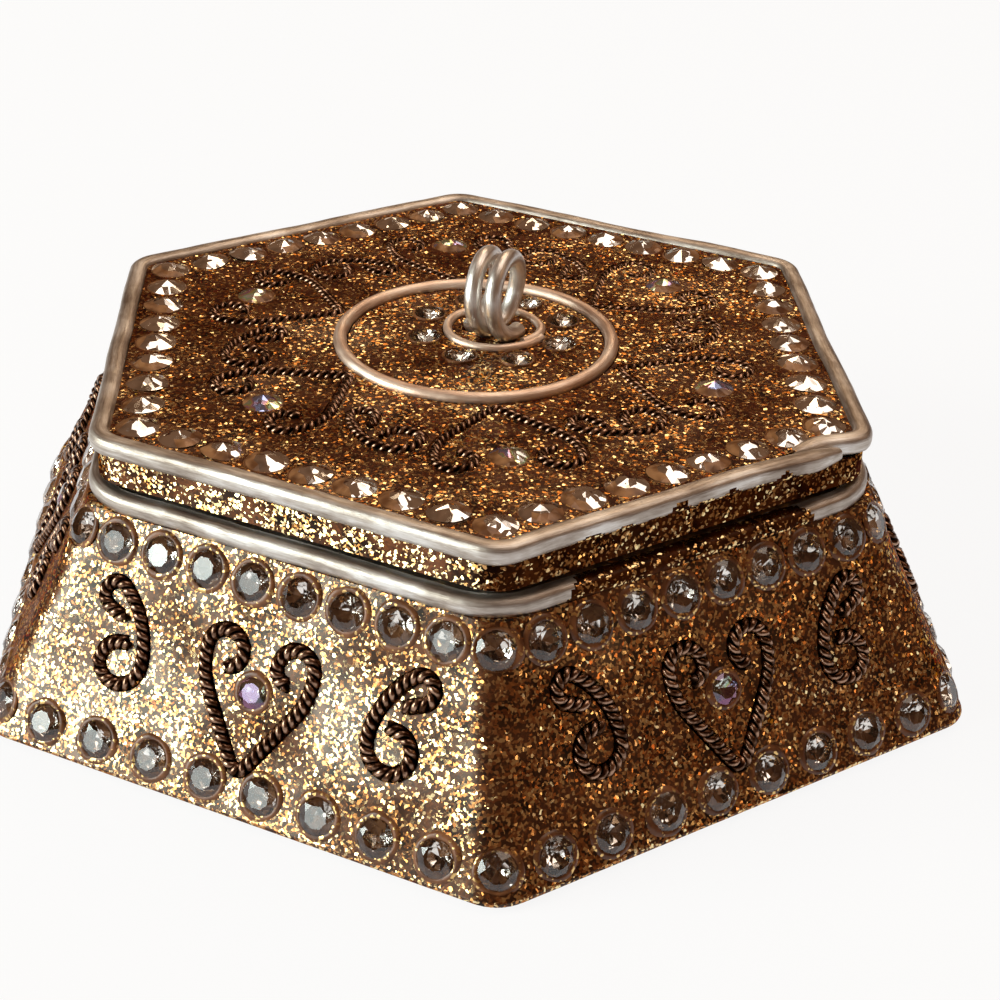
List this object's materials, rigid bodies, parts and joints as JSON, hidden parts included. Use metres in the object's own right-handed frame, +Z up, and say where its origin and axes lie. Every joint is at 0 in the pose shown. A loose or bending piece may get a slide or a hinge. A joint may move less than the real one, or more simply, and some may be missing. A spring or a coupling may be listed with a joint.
{
  "type": "trinket box",
  "caption": "Hexagonal trinket box with sloping glitter-lac sides, a lift-off lid with a wire coil knob, rows of glass stones and twisted wire scrolls.",
  "frame": {"origin": "on the table under the middle of the base", "axes": "+Z up along the lid's lift, +X through a corner, -Y out of the front side"},
  "size_m": [0.0896, 0.0786, 0.0308],
  "materials": {
    "tin": "satin",
    "bright_wire": "satin",
    "glitter_lac": "gloss",
    "clear_glass": "polished",
    "aurora_glass": "polished",
    "twisted_wire": "dark satin"
  },
  "bodies": {
    "base": {"base_shell": "tin", "base_collar": "tin", "base_rim_wire": "bright_wire", "base_lac_coat": "glitter_lac", "base_upper_stones_1": "clear_glass", "base_upper_stones_2": "clear_glass", "base_upper_stones_3": "clear_glass", "base_upper_stones_4": "clear_glass", "base_upper_stones_5": "clear_glass", "base_upper_stones_6": "clear_glass", "base_lower_stones_1": "clear_glass", "base_lower_stones_2": "clear_glass", "base_lower_stones_3": "clear_glass", "base_lower_stones_4": "clear_glass", "base_lower_stones_5": "clear_glass", "base_lower_stones_6": "clear_glass", "base_aurora_stones": "aurora_glass", "base_horn_1": "twisted_wire", "base_horn_2": "twisted_wire", "base_horn_3": "twisted_wire", "base_horn_4": "twisted_wire", "base_horn_5": "twisted_wire", "base_horn_6": "twisted_wire", "base_curls_1": "twisted_wire", "base_curls_2": "twisted_wire", "base_curls_3": "twisted_wire", "base_curls_4": "twisted_wire", "base_curls_5": "twisted_wire", "base_curls_6": "twisted_wire"},
    "lid": {"lid_shell": "tin", "lid_edge_wire": "bright_wire", "lid_top_lac": "glitter_lac", "lid_skirt_lac": "glitter_lac", "lid_outer_ring": "bright_wire", "lid_inner_ring": "bright_wire", "knob_coil": "bright_wire", "lid_border_stones_1": "clear_glass", "lid_border_stones_2": "clear_glass", "lid_border_stones_3": "clear_glass", "lid_border_stones_4": "clear_glass", "lid_border_stones_5": "clear_glass", "lid_border_stones_6": "clear_glass", "lid_aurora_stones": "aurora_glass", "lid_centre_stones": "clear_glass", "lid_horn_1": "twisted_wire", "lid_horn_2": "twisted_wire", "lid_horn_3": "twisted_wire", "lid_horn_4": "twisted_wire", "lid_horn_5": "twisted_wire", "lid_horn_6": "twisted_wire", "lid_curl_1": "twisted_wire", "lid_curl_2": "twisted_wire", "lid_curl_3": "twisted_wire", "lid_curl_4": "twisted_wire", "lid_curl_5": "twisted_wire", "lid_curl_6": "twisted_wire"}
  },
  "joints": [
    {"name": "lid_lift", "type": "slide", "parent": "base", "child": "lid", "axis": [0, 0, 1], "range_m": [0, 0.08]}
  ]
}
